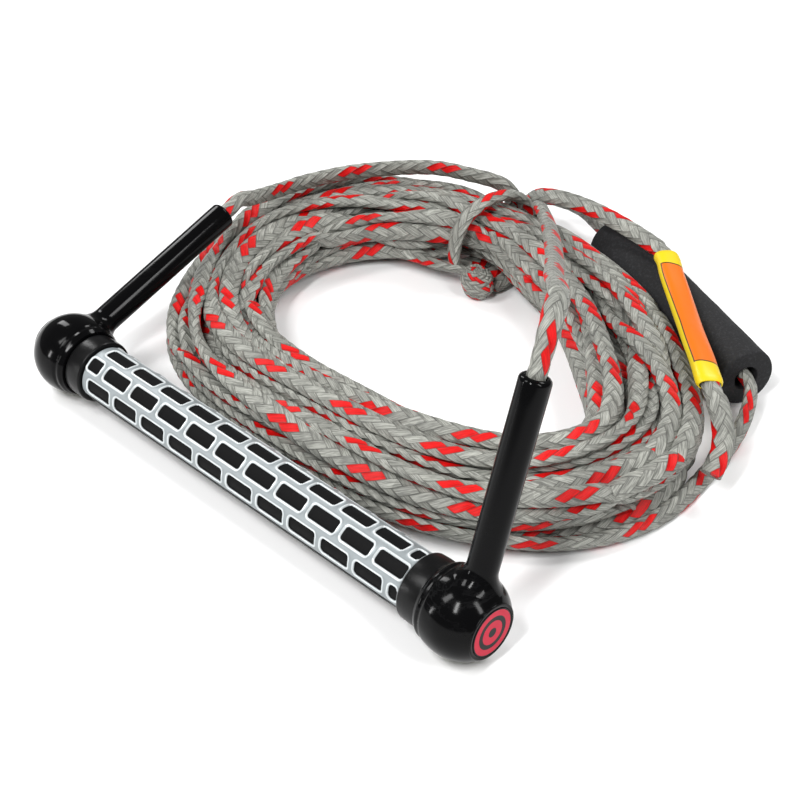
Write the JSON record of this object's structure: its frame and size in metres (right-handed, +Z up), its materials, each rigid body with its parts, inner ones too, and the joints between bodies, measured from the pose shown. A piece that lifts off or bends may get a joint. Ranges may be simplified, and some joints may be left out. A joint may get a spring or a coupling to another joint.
{
  "type": "tow rope handle",
  "caption": "Floating grip bar with a raised lattice grip and two swivelling arms, tied into its own coil of braided tow rope with a foam float.",
  "frame": {"origin": "middle of the handle's box, on the surface it lies on; the free rope and what is on it aren't counted", "axes": "+X along the bar towards its right end, +Y from the bar towards the coil, +Z up"},
  "size_m": [0.3419, 0.3407, 0.1595],
  "materials": {
    "cap_black": "gloss moulded black with a little wear",
    "collar_black": "satin black",
    "grip_rubber": "matte black moulded rubber",
    "lattice_silver": "silver grey, soft sheen",
    "bar_aluminium": "drawn tube",
    "guide_plastic": "plain white moulding",
    "core_foam": "closed-cell white foam",
    "float_foam": "closed-cell charcoal foam, matte",
    "rope_braid": "hollow braid, silver grey with red picks",
    "label_vinyl": "orange and yellow printed shrink sleeve",
    "badge_print": "black disc with a printed red ring"
  },
  "bodies": {
    "bar": {"bar_tube": "bar_aluminium", "foam_core": "core_foam", "grip_sleeve": "grip_rubber", "grip_lattice": "lattice_silver", "left_bar_bush": "guide_plastic", "right_bar_bush": "guide_plastic", "left_collar": "collar_black", "right_collar": "collar_black", "rope_in_bar": "rope_braid", "rope_coil": "rope_braid", "left_leg_rope": "rope_braid", "right_leg_rope": "rope_braid", "bridle_splice": "rope_braid", "tow_loop_rope": "rope_braid", "printed_sleeve": "label_vinyl"},
    "tow_float": {"tow_float": "float_foam"},
    "left_cap": {"left_end_cap": "cap_black", "left_badge": "badge_print", "left_rope_guide": "guide_plastic", "rope_in_left_arm": "rope_braid"},
    "right_cap": {"right_end_cap": "cap_black", "right_badge": "badge_print", "right_rope_guide": "guide_plastic", "rope_in_right_arm": "rope_braid"}
  },
  "joints": [
    {"name": "left_cap_swivel", "type": "hinge", "parent": "bar", "child": "left_cap", "pos_m": [-0.1465, -0.04579, 0.0215], "axis": [1, 0, 0], "range_deg": [0, 45]},
    {"name": "right_cap_swivel", "type": "hinge", "parent": "bar", "child": "right_cap", "pos_m": [0.1465, -0.04579, 0.0215], "axis": [1, 0, 0], "range_deg": [-35, 25]},
    {"name": "float_slide", "type": "slide", "parent": "bar", "child": "tow_float", "axis": [-0.9205, 0.3907, 0], "range_m": [-0.004, 0.008]}
  ]
}
